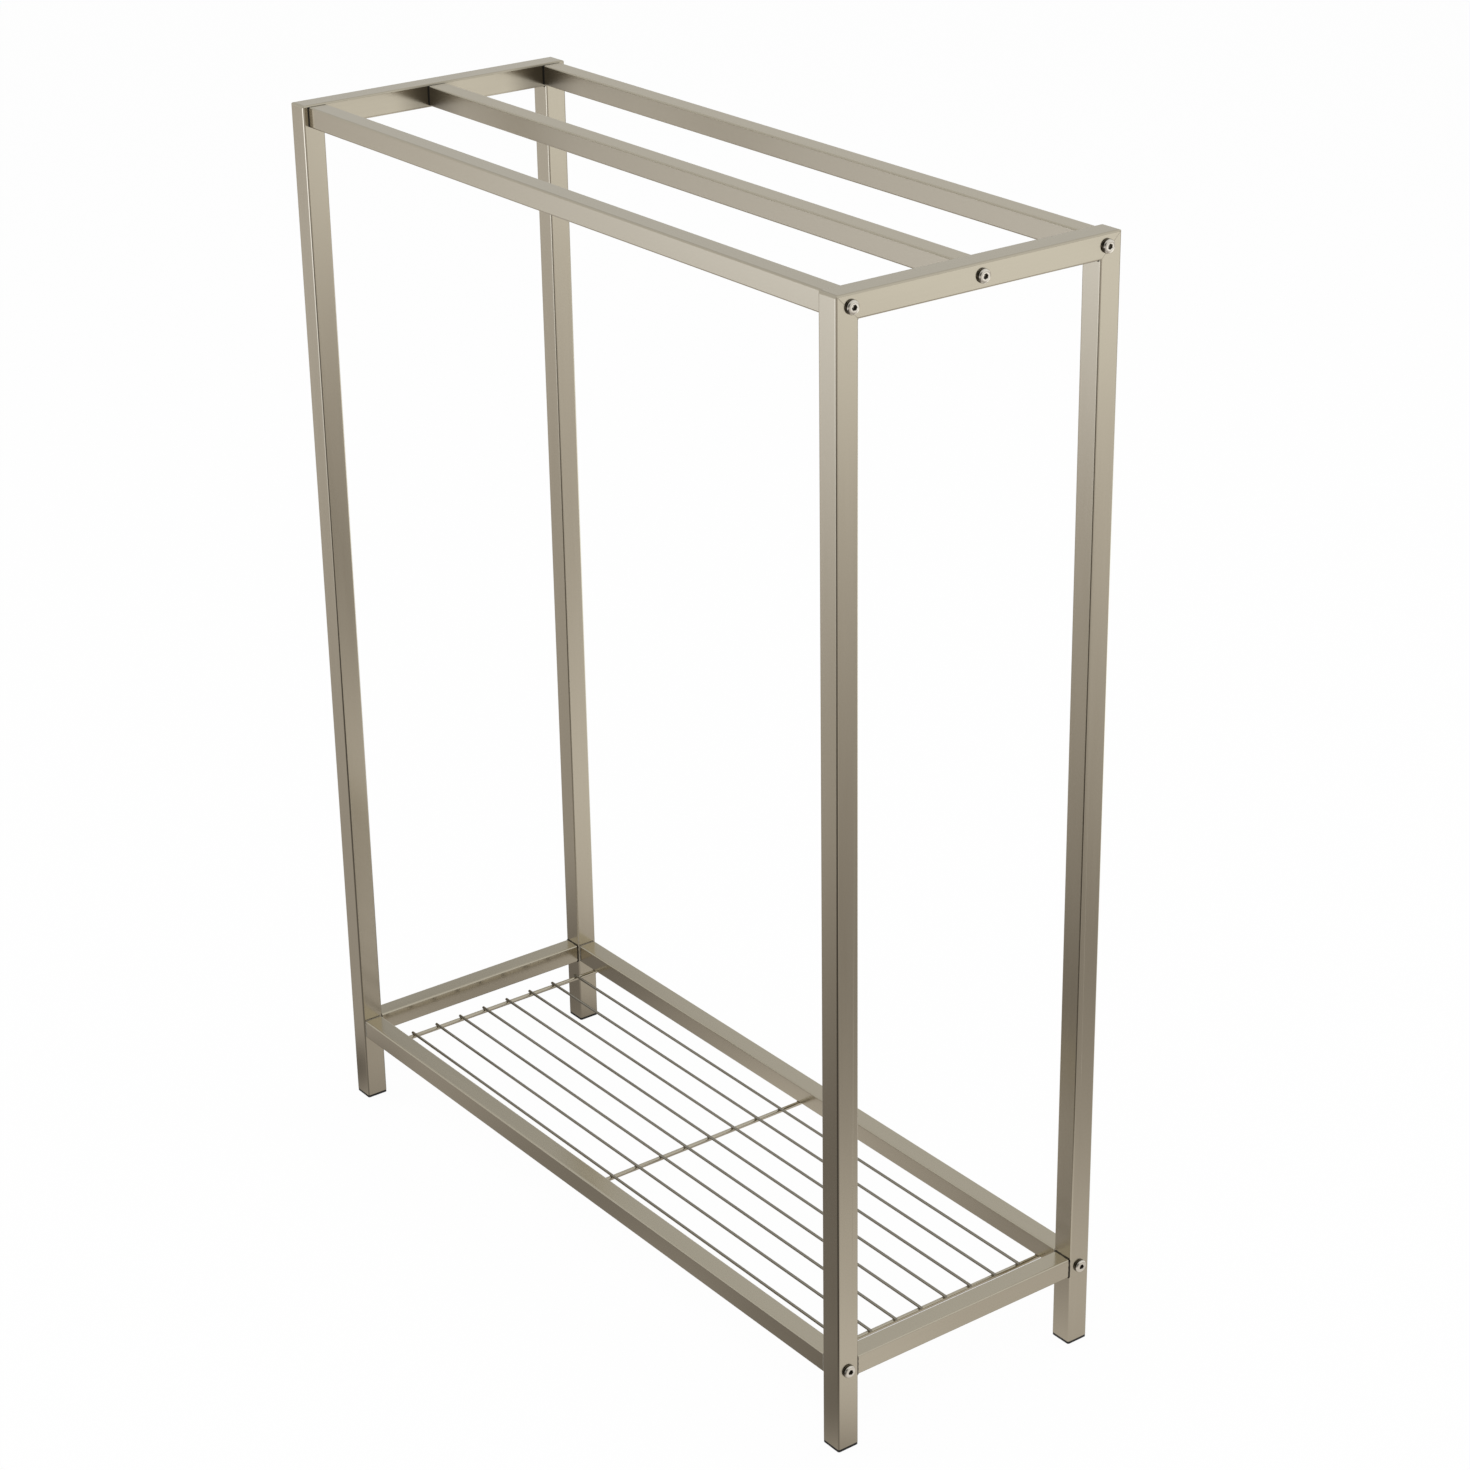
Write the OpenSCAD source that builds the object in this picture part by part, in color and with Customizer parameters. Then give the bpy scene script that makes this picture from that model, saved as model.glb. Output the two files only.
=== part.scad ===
// Free-standing clothing rack: two welded end frames, three level hang bars, and a low
// shelf of two rails with a welded wire mat. Socket screws through the end frames pull
// the bars and shelf rails against them, on nuts held in the bars' end plugs.
// X runs along the bars, Y from the front to the rear, Z up. Z = 0 is the floor.

/* [Overall] */
// Length over the outer faces of the end frames
rack_length = 930; // [600:5:1500]
// Depth over the outer faces of the posts
rack_depth = 335; // [250:5:500]
// Height of the top of the end frames above the floor
rack_height = 1205; // [900:5:1700]

/* [End frame tube] */
// Side of the square tube of the end frames
post_size = 25.4; // [24.4:0.2:34]
// Wall of the end frame tube
post_wall = 1.5; // [1.2:0.1:2]
// Radius of the end frame tube's long edges
post_edge_r = 2; // [1.6:0.1:3]
// Radius of the ground outer corners of the end frames
frame_corner_r = 3; // [1:0.5:3.5]

/* [Bar and rail tube] */
// Side of the square tube of the hang bars and shelf rails
rail_size = 22.2; // [20.4:0.2:24]
// Wall of the bar and rail tube
rail_wall = 1.2; // [1:0.1:1.4]
// Radius of the bar and rail tube's long edges
rail_edge_r = 1.8; // [1.5:0.1:2.6]

/* [Hang bars] */
// Distance from a post's outer face back to the outer bar's face
bar_inset = 6.4; // [3:0.2:12]

/* [Shelf] */
// Height of the top of the shelf rails above the floor
shelf_top_height = 104.5; // [60:0.5:400]
// Diameter of the wires that run along the shelf
long_wire_d = 3.2; // [2.6:0.1:4]
// Distance between neighbouring long wires
long_wire_pitch = 33.5; // [20:0.5:60]
// Least distance from a shelf rail to a long wire's centre
long_wire_margin = 20; // [8:1:24]
// Distance from a post's inner face to the ends of the long wires
mat_end_gap = 26.1; // [6:0.1:60]
// Diameter of the wires that carry the long wires
cross_wire_d = 5; // [4:0.1:6]
// Number of carrying wires
cross_wire_count = 3; // [2:1:7]
// Distance from the end carrying wires' centres to the ends of the long wires
long_wire_overhang = 3.5; // [3:0.1:20]
// Length of a carrying wire's end that lies under a shelf rail
cross_wire_lap = 4.5; // [3:0.1:10]
// Depth to which crossing wires are pressed into each other by their weld
wire_bite = 0.5; // [0.2:0.1:1]
// Depth to which a carrying wire is flattened by its weld to a shelf rail
weld_flat = 0.3; // [0.1:0.1:0.6]

/* [End plugs] */
// Thickness of the plug's flange between a bar's end and the end frame
plug_flange_t = 2; // [1:0.1:4]
// Depth of the plug's solid web from the end frame to the nut
plug_web_t = 6; // [5:0.1:12]
// Depth of the nut pocket's rim past the nut
nut_cover = 2; // [0.5:0.1:6]
// Play between a plug and the inside of its tube
plug_play = 0.1; // [0.05:0.05:0.3]

/* [Screws and nuts] */
// Diameter of the screw's shank
screw_d = 8; // [6:0.5:8.5]
// Play all round a shank in its holes
screw_play = 0.3; // [0.1:0.1:0.5]
// Diameter of the screw's button head
screw_head_d = 14; // [12:0.5:15]
// Height of the button head
screw_head_h = 4.4; // [3.4:0.1:6]
// Height of the head's straight rim
screw_rim_h = 0.4; // [0.2:0.1:0.8]
// Width across the flats of the hexagon socket
socket_af = 5; // [3:0.5:6]
// Depth of the hexagon socket
socket_depth = 2.8; // [1.5:0.1:3]
// Length of shank that stands out past the nut
screw_end = 2.1; // [0.5:0.1:8]
// Chamfer at the tip of the shank
screw_chamfer = 0.8; // [0.3:0.1:1.5]
// Width across the flats of the nut
nut_af = 13; // [12:0.5:14.5]
// Thickness of the nut
nut_h = 6.5; // [4:0.5:9]
// Play between the nut's flats and its pocket
nut_play = 0.1; // [0.05:0.05:0.2]
// Play between the shank and the nut's bore
thread_play = 0.05; // [0.02:0.01:0.1]

/* [Feet] */
// Height of the foot's sole under the post
foot_sole_h = 3; // [1:0.1:6]
// Distance from the post's face back to the sole's side
foot_inset = 0.3; // [0:0.1:1]
// Length of the foot's spigot inside the post
foot_spigot_h = 15; // [8:1:25]
// Play between the spigot and the inside of the post
foot_play = 0.1; // [0.05:0.05:0.3]

/* [Hidden] */
$fn = 48;

nickel = [0.66, 0.62, 0.54];
bright_steel = [0.78, 0.78, 0.77];
zinc = [0.62, 0.64, 0.67];
black_plastic = [0.07, 0.07, 0.07];
grey_plastic = [0.42, 0.39, 0.33];

left = -1;
right = 1;
front = -1;
rear = 1;
hex_sides = 6;
hex_corner_ratio = 1 / cos(180 / hex_sides);
// Least radius inside a tube's corners, and the amount by which a cut runs past a face
inside_r_min = 0.3;
cut_over = 1;

// Centre lines and inner faces of the posts
post_x = rack_length / 2 - post_size / 2;
post_y = rack_depth / 2 - post_size / 2;
frame_inner_x = rack_length / 2 - post_size;
frame_inner_y = rack_depth / 2 - post_size;

// Centre lines of the hang bars, shelf rails and top rails
bar_y = rack_depth / 2 - bar_inset - rail_size / 2;
bar_z = rack_height - post_size / 2;
shelf_z = shelf_top_height - rail_size / 2;
bar_half_length = frame_inner_x - plug_flange_t;

// Wire mat
rail_inner_y = post_y - rail_size / 2;
rail_bottom_z = shelf_z - rail_size / 2;
cross_wire_z = rail_bottom_z + weld_flat - cross_wire_d / 2;
long_wire_z = cross_wire_z + cross_wire_d / 2 - wire_bite + long_wire_d / 2;
long_wire_half = frame_inner_x - mat_end_gap;
cross_wire_half = rail_inner_y + cross_wire_lap;
end_cross_x = long_wire_half - long_wire_overhang;
cross_wire_pitch = 2 * end_cross_x / (cross_wire_count - 1);
long_wire_gaps = floor(2 * (rail_inner_y - long_wire_margin) / long_wire_pitch);
long_wire_ys = [for (i = [0 : long_wire_gaps]) (i - long_wire_gaps / 2) * long_wire_pitch];
cross_wire_xs = [for (i = [0 : cross_wire_count - 1]) i * cross_wire_pitch - end_cross_x];

// Screws and plugs
hole_d = screw_d + 2 * screw_play;
plug_length = plug_web_t + nut_h + nut_cover;
screw_length = post_size + plug_web_t + nut_h + screw_end;
head_dome_h = screw_head_h - screw_rim_h;
head_dome_r = (pow(screw_head_d / 2, 2) + pow(head_dome_h, 2)) / (2 * head_dome_h);
post_bore = post_size - 2 * post_wall;
rail_bore = rail_size - 2 * rail_wall;

function inside_r(edge_r, wall) = max(edge_r - wall, inside_r_min);

// Square outline with round corners, centred
module soft_square(size, r) {
    square([size, size - 2 * r], center = true);
    square([size - 2 * r, size], center = true);
    for (sx = [-1, 1], sy = [-1, 1])
        translate([sx * (size / 2 - r), sy * (size / 2 - r)]) circle(r = r);
}

// Square tube along Z, centred
module square_tube(length, size, wall, r) {
    linear_extrude(height = length, center = true)
        difference() {
            soft_square(size, r);
            soft_square(size - 2 * wall, inside_r(r, wall));
        }
}

// Turns what is drawn along Z to run along X
module along_x() {
    rotate([0, 90, 0]) children();
}

// Turns what is drawn along Z to run along Y
module along_y() {
    rotate([90, 0, 0]) children();
}

// Outline drawn in Y and Z, as a cutter through an end frame's tube at the right
module frame_cutter() {
    translate([frame_inner_x - cut_over, 0, 0])
        rotate([90, 0, 90])
            linear_extrude(height = post_size + 2 * cut_over) children();
}

// Carries what is drawn at the right rear to another corner
module at_corner(side, face) {
    mirror([side == left ? 1 : 0, 0, 0])
        mirror([0, face == front ? 1 : 0, 0]) children();
}

// Half space over the mitre at the top rear corner, which the post leaves free
module over_mitre() {
    y1 = rack_depth / 2 + cut_over;
    z1 = rack_height + cut_over;
    run = post_size + 2 * cut_over;
    frame_cutter() polygon([[y1, z1], [y1 - run, z1 - run], [y1 - run, z1]]);
}

// Half space under the same mitre, which the top rail leaves free
module under_mitre() {
    y1 = rack_depth / 2 + cut_over;
    z1 = rack_height + cut_over;
    run = post_size + 2 * cut_over;
    frame_cutter() polygon([[y1, z1], [y1 - run, z1 - run], [y1, z1 - run]]);
}

// What the ground round takes off the outer corner
module corner_round() {
    frame_cutter()
        translate([rack_depth / 2 - frame_corner_r, rack_height - frame_corner_r])
            difference() {
                square(frame_corner_r + cut_over);
                circle(r = frame_corner_r);
            }
}

// Clearance hole for a screw through an end frame's tube at the right
module frame_hole(y, z) {
    frame_cutter() translate([y, z]) circle(d = hole_d);
}

// Post of an end frame, mitred at its top
module post(side, face) {
    length = rack_height - foot_sole_h;
    color(nickel)
        at_corner(side, face)
            difference() {
                translate([post_x, post_y, foot_sole_h + length / 2])
                    square_tube(length, post_size, post_wall, post_edge_r);
                over_mitre();
                corner_round();
                frame_hole(bar_y, bar_z);
                frame_hole(post_y, shelf_z);
            }
}

// Top rail of an end frame, mitred to both posts
module top_rail(side) {
    color(nickel)
        at_corner(side, rear)
            difference() {
                translate([post_x, 0, bar_z])
                    along_y() square_tube(rack_depth, post_size, post_wall, post_edge_r);
                for (face = [front, rear])
                    at_corner(right, face) {
                        under_mitre();
                        corner_round();
                        frame_hole(bar_y, bar_z);
                    }
                frame_hole(0, bar_z);
            }
}

// Low rail welded between the two posts of an end frame
module side_rail(side) {
    color(nickel)
        translate([side * post_x, 0, shelf_z])
            along_y() square_tube(2 * frame_inner_y, rail_size, rail_wall, rail_edge_r);
}

// Straight length of tube between the plugs of the two end frames
module long_tube(y, z) {
    color(nickel)
        translate([0, y, z])
            along_x() square_tube(2 * bar_half_length, rail_size, rail_wall, rail_edge_r);
}

// Thin wires along the shelf, which lie on the carrying wires
module long_wires() {
    color(nickel)
        for (y = long_wire_ys)
            translate([0, y, long_wire_z])
                along_x() cylinder(h = 2 * long_wire_half, d = long_wire_d, center = true);
}

// One carrying wire, flattened under both shelf rails and dented by the long wires
module cross_wire() {
    difference() {
        along_y() cylinder(h = 2 * cross_wire_half, d = cross_wire_d, center = true);
        for (face = [front, rear])
            translate([0, face * (rail_inner_y + cross_wire_lap), cross_wire_d / 2])
                cube([cross_wire_d, 2 * cross_wire_lap, 2 * weld_flat], center = true);
        for (y = long_wire_ys)
            translate([0, y, long_wire_z - cross_wire_z])
                along_x() cylinder(h = 2 * cross_wire_d, d = long_wire_d, center = true);
    }
}

module cross_wires() {
    color(nickel)
        for (x = cross_wire_xs)
            translate([x, 0, cross_wire_z]) cross_wire();
}

// Plug in a tube's end, drawn with its flange against the end frame at Z = 0
module end_plug() {
    difference() {
        union() {
            translate([0, 0, -plug_flange_t])
                linear_extrude(height = plug_flange_t) soft_square(rail_size, rail_edge_r);
            translate([0, 0, -plug_length])
                linear_extrude(height = plug_length - plug_flange_t)
                    soft_square(rail_bore - 2 * plug_play, inside_r(rail_edge_r, rail_wall));
        }
        translate([0, 0, -plug_length - cut_over])
            cylinder(h = plug_length + 2 * cut_over, d = hole_d);
        translate([0, 0, -plug_length - cut_over])
            cylinder(h = plug_length - plug_web_t + cut_over,
                     d = (nut_af + 2 * nut_play) * hex_corner_ratio, $fn = hex_sides);
    }
}

// Nut seated on the floor of its plug's pocket
module plug_nut() {
    translate([0, 0, -plug_web_t - nut_h])
        difference() {
            cylinder(h = nut_h, d = nut_af * hex_corner_ratio, $fn = hex_sides);
            translate([0, 0, -cut_over])
                cylinder(h = nut_h + 2 * cut_over, d = screw_d + 2 * thread_play);
        }
}

// Button-head socket screw, drawn with its head seated on Z = 0
module socket_screw() {
    difference() {
        rotate_extrude()
            intersection() {
                translate([0, screw_head_h - head_dome_r]) circle(r = head_dome_r);
                square([screw_head_d / 2, screw_head_h]);
            }
        translate([0, 0, screw_head_h - socket_depth])
            cylinder(h = socket_depth + cut_over, d = socket_af * hex_corner_ratio, $fn = hex_sides);
    }
    translate([0, 0, screw_chamfer - screw_length])
        cylinder(h = screw_length - screw_chamfer, d = screw_d);
    translate([0, 0, -screw_length])
        cylinder(h = screw_chamfer, d1 = screw_d - 2 * screw_chamfer, d2 = screw_d);
}

// Puts what is drawn along Z at the right end of each tube, and at both ends if asked
module at_tube_ends(x, ys, z, sides) {
    for (side = sides, y = ys)
        mirror([side == left ? 1 : 0, 0, 0])
            translate([x, y, z]) along_x() children();
}

module hang_bar_plugs() {
    color(black_plastic)
        at_tube_ends(frame_inner_x, [-bar_y, 0, bar_y], bar_z, [left, right]) end_plug();
}

module shelf_rail_plugs() {
    color(grey_plastic)
        at_tube_ends(frame_inner_x, [-post_y, post_y], shelf_z, [left, right]) end_plug();
}

module hang_bar_nuts() {
    color(zinc)
        at_tube_ends(frame_inner_x, [-bar_y, 0, bar_y], bar_z, [left, right]) plug_nut();
}

module shelf_rail_nuts() {
    color(zinc)
        at_tube_ends(frame_inner_x, [-post_y, post_y], shelf_z, [left, right]) plug_nut();
}

module top_screws(side) {
    color(bright_steel)
        at_tube_ends(rack_length / 2, [-bar_y, 0, bar_y], bar_z, [side]) socket_screw();
}

module shelf_screws(side) {
    color(bright_steel)
        at_tube_ends(rack_length / 2, [-post_y, post_y], shelf_z, [side]) socket_screw();
}

// Plastic foot: a sole under the post and a spigot inside it
module foot(side, face) {
    color(black_plastic)
        at_corner(side, face)
            translate([post_x, post_y, 0]) {
                linear_extrude(height = foot_sole_h)
                    soft_square(post_size - 2 * foot_inset, post_edge_r);
                translate([0, 0, foot_sole_h])
                    linear_extrude(height = foot_spigot_h)
                        soft_square(post_bore - 2 * foot_play, inside_r(post_edge_r, post_wall));
            }
}

post(left, front);  // left_front_post
post(left, rear);  // left_rear_post
post(right, front);  // right_front_post
post(right, rear);  // right_rear_post
top_rail(left);  // left_top_rail
top_rail(right);  // right_top_rail
side_rail(left);  // left_side_rail
side_rail(right);  // right_side_rail
long_tube(-bar_y, bar_z);  // front_hang_bar
long_tube(0, bar_z);  // middle_hang_bar
long_tube(bar_y, bar_z);  // rear_hang_bar
long_tube(-post_y, shelf_z);  // front_shelf_rail
long_tube(post_y, shelf_z);  // rear_shelf_rail
long_wires();
cross_wires();
hang_bar_plugs();
shelf_rail_plugs();
hang_bar_nuts();
shelf_rail_nuts();
top_screws(left);  // left_top_screws
top_screws(right);  // right_top_screws
shelf_screws(left);  // left_shelf_screws
shelf_screws(right);  // right_shelf_screws
foot(left, front);  // left_front_foot
foot(left, rear);  // left_rear_foot
foot(right, front);  // right_front_foot
foot(right, rear);  // right_rear_foot
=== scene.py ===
import math

import bmesh
import bpy
from mathutils import Matrix, Vector


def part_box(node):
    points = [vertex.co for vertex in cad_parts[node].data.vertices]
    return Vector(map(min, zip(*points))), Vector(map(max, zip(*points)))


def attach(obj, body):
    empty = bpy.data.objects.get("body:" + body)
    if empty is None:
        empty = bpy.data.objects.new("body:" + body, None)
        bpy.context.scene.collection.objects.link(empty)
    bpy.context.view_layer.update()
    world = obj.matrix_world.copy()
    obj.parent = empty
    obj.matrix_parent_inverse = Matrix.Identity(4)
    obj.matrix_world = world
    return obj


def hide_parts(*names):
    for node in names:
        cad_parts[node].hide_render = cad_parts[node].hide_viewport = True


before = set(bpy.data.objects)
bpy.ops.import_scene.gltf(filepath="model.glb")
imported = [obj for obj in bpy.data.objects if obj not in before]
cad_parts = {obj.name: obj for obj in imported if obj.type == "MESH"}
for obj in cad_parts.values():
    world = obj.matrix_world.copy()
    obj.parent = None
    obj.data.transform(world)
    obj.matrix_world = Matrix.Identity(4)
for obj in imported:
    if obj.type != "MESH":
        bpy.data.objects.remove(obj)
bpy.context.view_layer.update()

# Sizes in metres, read off the frame where it gives them.
MM = 0.001
BODY = "root"
RIGHT_FRAME_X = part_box("right_front_post")[1][0]
FRAME_INNER_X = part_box("right_front_post")[0][0]
TUBE = RIGHT_FRAME_X - FRAME_INNER_X
RACK_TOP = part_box("right_top_rail")[1][2]
RACK_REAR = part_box("right_rear_post")[1][1]
POST_INNER_Y = RACK_REAR - TUBE
POST_X = RIGHT_FRAME_X - TUBE / 2
POST_Y = RACK_REAR - TUBE / 2

BAR_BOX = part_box("rear_hang_bar")
BAR_SIZE = BAR_BOX[1][2] - BAR_BOX[0][2]
BAR_Y = (BAR_BOX[0][1] + BAR_BOX[1][1]) / 2
BAR_Z = (BAR_BOX[0][2] + BAR_BOX[1][2]) / 2
SHELF_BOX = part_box("rear_shelf_rail")
SHELF_Y = (SHELF_BOX[0][1] + SHELF_BOX[1][1]) / 2
SHELF_Z = (SHELF_BOX[0][2] + SHELF_BOX[1][2]) / 2

TUBE_EDGE_R = 2.0 * MM
BAR_EDGE_R = 1.8 * MM
TUBE_WALL = 1.5 * MM

# Screws. The profile of the head: a share of its radius, and how far it stands out there.
SCREW_HEAD_R = 7.0 * MM
SCREW_HEAD_H = 4.0 * MM
SCREW_SHANK_R = 4.0 * MM
SCREW_LENGTH = RIGHT_FRAME_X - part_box("right_top_screws")[0][0]
SCREW_RIM = 2.0 * MM
SCREW_EDGE_R = 0.3 * MM
SCREW_PROFILE = [(0.93, 3.00 * MM), (0.84, 3.55 * MM), (0.74, 3.82 * MM), (0.63, 3.95 * MM),
                 (0.52, 4.00 * MM)]
SCREW_POINT = 0.8 * MM
SCREW_POINT_SHARE = 0.8
SCREW_SIDES = 48
SHANK_PLAIN = 3.0 * MM
THREAD_PITCH = 1.25 * MM
THREAD_ROOT = 0.86
SOCKET_FLATS = 5.0 * MM
SOCKET_DEPTH = 2.8 * MM
SOCKET_CHAMFER = 0.35 * MM
SOCKET_MOUTH = 1.28
SOCKET_LEDGE = 0.35 * MM
DRILL_DEPTH = 0.6 * MM
DRILL_POINT = 0.15
SOCKET_TURNS = [46, 1, 16, 31]
SCREW_ROWS = [
    ("top", BAR_Z, [("front", -BAR_Y), ("middle", 0.0), ("rear", BAR_Y)]),
    ("shelf", SHELF_Z, [("front", -SHELF_Y), ("rear", SHELF_Y)]),
]

# Feet: the sole under the tube, and the spigot with its ribs.
FOOT_SOLE = 3.0 * MM
FOOT_INSET = 0.1 * MM
FOOT_PLAY = 0.1 * MM
FOOT_EDGE_R = 0.2 * MM
FOOT_RIM = 2.5 * MM
FOOT_HOLLOW = 0.8 * MM
FOOT_SHOULDER = 1.2 * MM
RIBS = 5
RIB_HEIGHT = 0.35 * MM
RIB_SLOPE = 0.2 * MM
RIB_LAND = 0.6 * MM
RIB_LEAD = 0.6 * MM
RIB_GAP = 1.2 * MM

# Shelf wires: how many, the sides of their round, and the rounding of their cut ends.
LONG_WIRES = 8
LONG_WIRE_SIDES = 24
LONG_WIRE_END_R = 0.5 * MM
CROSS_WIRE_SIDES = 32
CROSS_WIRE_END_R = 0.9 * MM

# Welds: half sizes of each lump, how it sits on the joint, and how even and smooth it is.
SPOT_WELD = (1.9 * MM, 2.3 * MM, 0.95 * MM)
SPOT_WELD_RISE = 0.25 * MM
LAP_WELD = (1.3 * MM, 2.4 * MM, 1.1 * MM)
LAP_WELD_BITE = 0.9 * MM
LAP_WELD_REACH = 2.0 * MM
LAP_WELD_SINK = 0.8 * MM
LAP_WELD_SEED = 40
LUMP_UNEVEN = 0.12 * MM
RING_BEAD = 1.0 * MM
RING_UNEVEN = 0.22
RING_SEED = 9
MITRE_WELD_R = 1.1 * MM
MITRE_WELD_END_R = 0.7 * MM
MITRE_WELD_SINK = 0.3 * MM
MITRE_WELD_UNEVEN = 0.15 * MM
MITRE_WELD_SEED = 3
MITRE_WELD_SIDES = 16
MITRE_WELD_CUTS = 3
RING_CUTS = 9
RING_RESOLUTION = 3
LUMP_SEGMENTS = 20
LUMP_RINGS = 10
LUMP_EVEN_SHARE = 0.3
LUMP_OUT_SHARE = 0.6
LUMP_SMOOTHING = 0.35
BEAD_EVEN_SHARE = 0.4
BEAD_OUT_SHARE = 0.5

# The two ends and two faces of the rack, and the limits of the tests for faces and edges.
ENDS = [(-1, "left"), (1, "right")]
FACES = [(-1, "front"), (1, "rear")]
TOUCH = 0.01 * MM
SQUARE_ON = 0.9
RIM_SHARE = 0.99
QUARTER_TURN = math.pi / 2

# Steps of the rounded edges, and the angles in degrees up to which a shape is shaded smooth.
EDGE_STEPS = 2
END_STEPS = 3
CORNER_STEPS = 4
SMOOTH_ANGLE = 35.0
ROD_SMOOTH_ANGLE = 50.0
WELD_SMOOTH_ANGLE = 60.0

# The camera of the photograph: its place, the way it looks, its tilt and its lens.
CAMERA_PLACE = (2.6771, -1.9274, 2.0501)
CAMERA_AZIMUTH = 53.38
CAMERA_ELEVATION = 23.99
CAMERA_ROLL = -0.905
CAMERA_LENS = 83.09
CAMERA_SENSOR = 36.0
CAMERA_FAR = 100.0

# Soft boxes: name, place, size and power.
LAMPS = [
    ("key_soft_box", (2.8, -2.2, 3.6), 2.4, 60.0),
    ("fill_soft_box", (-3.2, -2.6, 2.6), 3.0, 35.0),
    ("rear_soft_box", (0.6, 3.6, 3.2), 2.6, 35.0),
]

# Colours, as light is returned by them.
NICKEL = (0.640, 0.590, 0.478)
NICKEL_DARK = (0.595, 0.545, 0.435)
HAZY_NICKEL = (0.700, 0.645, 0.523)
HAZY_DARK = (0.650, 0.595, 0.475)
SEAM_TONE = (0.180, 0.160, 0.125)
# Painted shade: the dark tone the plate is pulled towards where shade and dark reflections fall.
PAINTED_SHADE_TONE = (0.170, 0.152, 0.120)
# The long wires' nickel: darker than the cross wires' as painted shade on the thin round wires.
SHADED_WIRE_NICKEL = (0.400, 0.375, 0.315)
SHADED_WIRE_DARK = (0.300, 0.280, 0.235)
WELD_TONE = (0.260, 0.235, 0.190)
WELD_DARK = (0.150, 0.135, 0.105)
# Near black weld rings: partly dark weld, partly painted shadow of the gap where a side rail meets
# a post.
WELD_GAP_SHADE = (0.075, 0.066, 0.052)
WELD_GAP_SHADE_DARK = (0.035, 0.030, 0.024)
SCREW_STEEL = (0.970, 0.925, 0.830)
SCREW_HAZE = (0.800, 0.760, 0.670)
# Painted shade on the sides of the screw heads and in their sockets.
SCREW_SIDE_SHADE = (0.090, 0.080, 0.064)
ZINC = (0.600, 0.620, 0.650)
ZINC_DARK = (0.520, 0.540, 0.580)
BLACK_PLASTIC = (0.006, 0.006, 0.006)
BLACK_WORN = (0.012, 0.012, 0.011)
GREY_PLASTIC = (0.190, 0.170, 0.135)
GREY_WORN = (0.225, 0.205, 0.165)
WHITE = (1.0, 1.0, 1.0)

# The grain of the brushed plate, in waves per metre: across the lines and along them.
LINES_ACROSS = 900.0
LINES_ALONG = 9.0
CLOUD_ACROSS = 70.0
CLOUD_ALONG = 5.0
GRIT = 1400.0
LINES_DETAIL = 3.0
CLOUD_DETAIL = 4.0
GRIT_DETAIL = 2.0

# What lines, clouds, edges and seams give to the tone, the roughness and the relief of it.
TONE_LINES = 0.55
TONE_CLOUD = 0.75
TONE_EDGE = 0.25
TONE_LOWERED = 0.15
TONE_SEAM = 0.22
PLATE_ROUGH = 0.14
HAZY_ROUGH = 0.26
WELD_ROUGH = 0.30
ROUGH_LINES = 0.05
ROUGH_CLOUD = 0.06
ROUGH_EDGE = 0.06
ROUGH_SEAM = 0.20
RELIEF_LINES = 0.8
RELIEF_GRIT = 0.2
RELIEF_SEAM = 1.5
RELIEF = 0.06 * MM
RELIEF_STRENGTH = 0.07

# How squarely a face looks along an axis to count as flat, rounded, a side, upright or level.
FLAT_FACING = 0.99
ROUND_FACING = 0.86
SIDE_FACING = 0.90
UPRIGHT_FACING = 0.30
LEVEL_FACING = 0.90

# The mitre seam: how far from its line it is full, and where it has faded out.
SEAM_CORE = 0.20 * MM
SEAM_FADED = 0.55 * MM

# Painted shade on the plate, where shade and dark reflections fall. Each fade has a start, an end
# and its share at the start.
# The last value is how far from the middle planes of the rack one corner is told from the next.
LEFT_BENDS = (0.25, 0.75, 0.65)
RIGHT_BENDS = (0.08, 0.22, 0.50)
BAR_ENDS = (0.0, 75.0 * MM, 0.58)
BAR_PAINTED_SHADE = 0.22
BESIDE_MIDDLE_BAR = (0.0, 45.0 * MM, 0.60)
BESIDE_REAR_BAR = (0.0, 45.0 * MM, 0.70)
MIDDLE_SHADE_Y = -14.0 * MM
REAR_SHADE_Y = 130.0 * MM
TOP_RAIL_ZONE = (RACK_TOP - 60.0 * MM, RACK_TOP - 40.0 * MM)
INNER_FACE_ZONE = (FRAME_INNER_X + 0.2 * MM, FRAME_INNER_X + 1.2 * MM)
MIDDLE_BLEND = 0.10

# The finish of the screws, the nuts and the plastic: grain, roughness and relief.
SCREW_CLOUD = 260.0
SCREW_DETAIL = 3.0
SCREW_ROUGH = 0.13
SCREW_ROUGH_CLOUD = 0.10
SCREW_SHADE_ZONE = (0.22, 0.52)
SCREW_RELIEF = 0.1 * MM
SCREW_RELIEF_STRENGTH = 0.05
SPANGLE = 900.0
ZINC_ROUGH = 0.32
ZINC_ROUGH_SPANGLE = 0.15
MOULD_GRAIN = 2200.0
MOULD_GRAIN_DETAIL = 2.0
PLASTIC_CLOUD = 60.0
PLASTIC_CLOUD_DETAIL = 3.0
PLASTIC_ROUGH = 0.42
PLASTIC_ROUGH_CLOUD = 0.16
PLASTIC_RELIEF = 0.08 * MM
PLASTIC_RELIEF_STRENGTH = 0.25

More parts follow.
